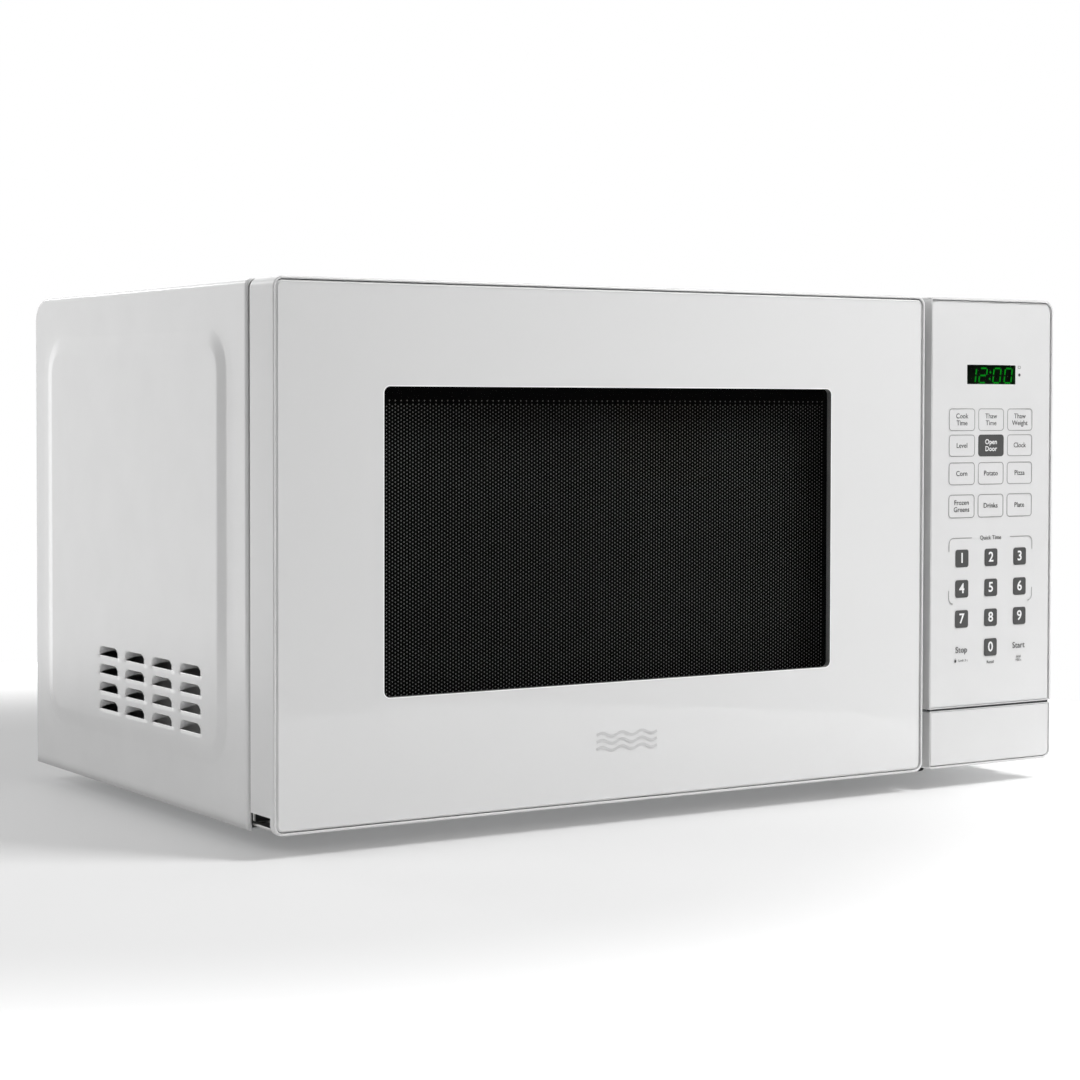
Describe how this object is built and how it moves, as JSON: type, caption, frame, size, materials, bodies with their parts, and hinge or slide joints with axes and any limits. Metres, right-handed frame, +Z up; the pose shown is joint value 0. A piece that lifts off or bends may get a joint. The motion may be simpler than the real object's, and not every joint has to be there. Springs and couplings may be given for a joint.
{
  "type": "countertop microwave oven",
  "caption": "Countertop microwave oven with a side-hinged glass door, push-button release, keypad panel, turntable and ventilated steel cabinet.",
  "frame": {"origin": "centre of the footprint, at the height of the feet's undersides", "axes": "+X to the oven's right as seen from in front, the door faces -Y, +Z up"},
  "size_m": [0.47, 0.302, 0.26],
  "materials": {
    "white_paint": "semi-gloss powder coat",
    "galvanised_steel": "zinc plated",
    "enamel": "smooth grey epoxy coat",
    "foot_rubber": "matt",
    "black_plastic": "fine texture",
    "bright_steel": "plain",
    "mica": "pressed sheet",
    "copper_wire": null,
    "circuit_board": "laminate",
    "grey_plastic": "moulded",
    "clear_glass": "clear",
    "nylon": "natural",
    "white_plastic": "satin moulded",
    "keypad_film": "printed film",
    "smoked_window": "smoked",
    "printed_glass": "white back-printed glass with a black-bordered window",
    "black_paint": "satin"
  },
  "bodies": {
    "cabinet": {"outer_wrap": "white_paint", "base_plate": "galvanised_steel", "rear_panel": "galvanised_steel", "front_plate": "enamel", "cavity_shell": "enamel", "foot_front_left": "foot_rubber", "foot_front_right": "foot_rubber", "foot_rear_left": "foot_rubber", "foot_rear_right": "foot_rubber", "rear_spacer_left": "black_plastic", "rear_spacer_right": "black_plastic", "cord_bush": "black_plastic", "rear_screw_1": "bright_steel", "rear_screw_2": "bright_steel", "rear_screw_3": "bright_steel", "waveguide": "galvanised_steel", "waveguide_cover": "mica", "magnetron_core": "bright_steel", "magnetron_yoke": "galvanised_steel", "magnetron_filter_box": "galvanised_steel", "transformer_core": "bright_steel", "primary_winding": "copper_wire", "secondary_winding": "copper_wire", "capacitor": "galvanised_steel", "capacitor_bracket": "galvanised_steel", "filter_board": "circuit_board", "thermal_cutout": "black_plastic", "fan_shroud": "grey_plastic", "fan_motor": "bright_steel", "lamp_holder": "galvanised_steel", "lamp_bulb": "clear_glass", "turntable_motor": "galvanised_steel", "lower_hinge": "bright_steel", "upper_hinge": "bright_steel", "latch_housing": "nylon", "primary_switch": "black_plastic", "secondary_switch": "black_plastic", "monitor_switch": "black_plastic", "panel_frame": "white_plastic", "panel_overlay": "keypad_film", "display_window": "smoked_window", "display_module": "black_plastic", "control_board": "circuit_board"},
    "fan": {"fan_blade": "black_plastic"},
    "coupler": {"turntable_coupler": "nylon"},
    "roller_ring": {"roller_ring": "nylon"},
    "roller_1": {"roller_1": "nylon"},
    "roller_2": {"roller_2": "nylon"},
    "roller_3": {"roller_3": "nylon"},
    "tray": {"glass_tray": "clear_glass"},
    "lever": {"release_lever": "nylon"},
    "button": {"release_button": "white_plastic", "button_spring": "bright_steel"},
    "door": {"door_frame": "white_plastic", "door_glass": "printed_glass", "door_panel": "black_paint", "choke_cover": "black_plastic", "inner_window": "clear_glass"},
    "latch": {"door_latch": "nylon", "latch_spring": "bright_steel"}
  },
  "joints": [
    {"name": "door_swing", "type": "hinge", "parent": "cabinet", "child": "door", "pos_m": [-0.2285, -0.14225, 0.13], "axis": [0, 0, -1], "range_deg": [0, 100]},
    {"name": "button_press", "type": "slide", "parent": "cabinet", "child": "button", "axis": [0, 1, 0], "range_m": [0, 0.005], "stiffness_N_per_m": 800, "springref_m": -0.002, "deforming": ["button_spring"]},
    {"name": "lever_rock", "type": "hinge", "parent": "cabinet", "child": "lever", "pos_m": [0.191, -0.114, 0.04], "axis": [1, 0, 0], "range_deg": [0, 22.5]},
    {"name": "latch_lift", "type": "slide", "parent": "door", "child": "latch", "axis": [0, 0, 1], "range_m": [0, 0.003], "deforming": ["latch_spring"]},
    {"name": "turntable_spin", "type": "hinge", "parent": "cabinet", "child": "coupler", "pos_m": [-0.049, 0.0009, 0.04], "axis": [0, 0, 1], "continuous": true},
    {"name": "tray_lift", "type": "slide", "parent": "coupler", "child": "tray", "axis": [0, 0, 1], "range_m": [0, 0.02]},
    {"name": "ring_roll", "type": "hinge", "parent": "cabinet", "child": "roller_ring", "pos_m": [-0.049, 0.0009, 0.0403], "axis": [0, 0, 1], "continuous": true},
    {"name": "fan_spin", "type": "hinge", "parent": "cabinet", "child": "fan", "pos_m": [0.165, 0.098, 0.178], "axis": [0, 1, 0], "continuous": true},
    {"name": "roller_1_spin", "type": "hinge", "parent": "roller_ring", "child": "roller_1", "pos_m": [0.042, 0.0009, 0.0403], "axis": [1, 0, 0], "continuous": true},
    {"name": "roller_2_spin", "type": "hinge", "parent": "roller_ring", "child": "roller_2", "pos_m": [-0.0945, 0.07971, 0.0403], "axis": [-0.5, 0.866, 0], "continuous": true},
    {"name": "roller_3_spin", "type": "hinge", "parent": "roller_ring", "child": "roller_3", "pos_m": [-0.0945, -0.07791, 0.0403], "axis": [-0.5, -0.866, 0], "continuous": true}
  ],
  "couplings": [
    {"joint": "lever_rock", "follows": "button_press", "rad_per_m": 76.9},
    {"joint": "latch_lift", "follows": "button_press", "ratio": 0.6},
    {"joint": "ring_roll", "follows": "turntable_spin", "ratio": 0.5},
    {"joint": "roller_1_spin", "follows": "turntable_spin", "ratio": -6.5},
    {"joint": "roller_2_spin", "follows": "turntable_spin", "ratio": -6.5},
    {"joint": "roller_3_spin", "follows": "turntable_spin", "ratio": -6.5}
  ]
}
